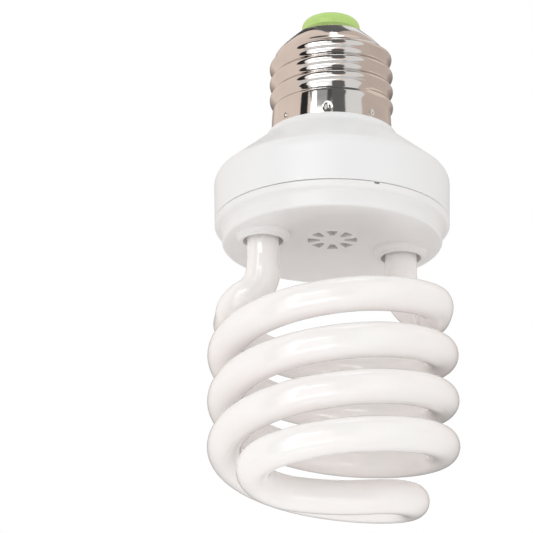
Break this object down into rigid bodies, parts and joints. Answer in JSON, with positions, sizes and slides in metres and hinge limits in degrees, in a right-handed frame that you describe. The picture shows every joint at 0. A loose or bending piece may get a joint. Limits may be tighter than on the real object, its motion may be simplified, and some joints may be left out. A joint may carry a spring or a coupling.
{
  "type": "spiral energy saving bulb",
  "caption": "Compact fluorescent lamp with a double-spiral glass tube, a round white ballast housing and an E27 screw cap, shown hanging cap up.",
  "frame": {"origin": "centre of the contact's end face, at the top of the screw cap", "axes": "+Z along the lamp's axis and out of the contact; the lamp hangs below the origin along -Z. The picture's camera looks along +Y from below, with +X to the right"},
  "size_m": [0.0522, 0.0522, 0.1109],
  "materials": {
    "nickel_cap": "bright nickel plate on rolled sheet",
    "green_insulator": "pale green moulded plastic",
    "contact_metal": "tin-plated contact",
    "white_housing": "white flame-retardant plastic, satin",
    "white_cover": "white flame-retardant plastic, satin",
    "phosphor_glass": "milky phosphor-coated glass, glossy outside",
    "tube_cement": "white silicone cement",
    "board": "phenolic board with green mask",
    "tinned_wire": "tinned wire",
    "solder": "solder",
    "ferrite": "sintered ferrite",
    "bobbin_plastic": "black phenolic",
    "winding_tape": "yellow polyester tape over enamelled wire",
    "capacitor_sleeve": "dark shrink sleeve",
    "red_dip": "red epoxy dip",
    "green_dip": "green epoxy dip",
    "enamelled_wire": "enamelled copper",
    "black_epoxy": "moulded epoxy",
    "resistor_coat": "flameproof coat",
    "inductor_sleeve": "black shrink sleeve",
    "resistor_beige": "lacquered resistor body",
    "diac_blue": "blue lacquered glass",
    "red_insulation": "red wire insulation",
    "white_insulation": "white wire insulation"
  },
  "bodies": {
    "root": {"screw_shell": "nickel_cap", "contact_insulator": "green_insulator", "centre_contact": "contact_metal", "upper_housing": "white_housing", "lower_cover": "white_cover", "glass_tube": "phosphor_glass", "tube_cement_left": "tube_cement", "tube_cement_right": "tube_cement", "circuit_board": "board", "electrode_leads": "tinned_wire", "lead_solder_joints": "solder", "choke_core": "ferrite", "choke_bobbin": "bobbin_plastic", "choke_winding": "winding_tape", "smoothing_capacitor": "capacitor_sleeve", "blocking_capacitor": "red_dip", "resonant_capacitor": "green_dip", "feedback_toroid": "ferrite", "toroid_windings": "enamelled_wire", "transistor_upper": "black_epoxy", "transistor_lower": "black_epoxy", "rectifier_diodes": "black_epoxy", "fusible_resistor": "resistor_coat", "input_inductor": "inductor_sleeve", "ballast_resistors": "resistor_beige", "diac": "diac_blue", "contact_wire": "red_insulation", "shell_wire": "white_insulation"}
  },
  "joints": []
}
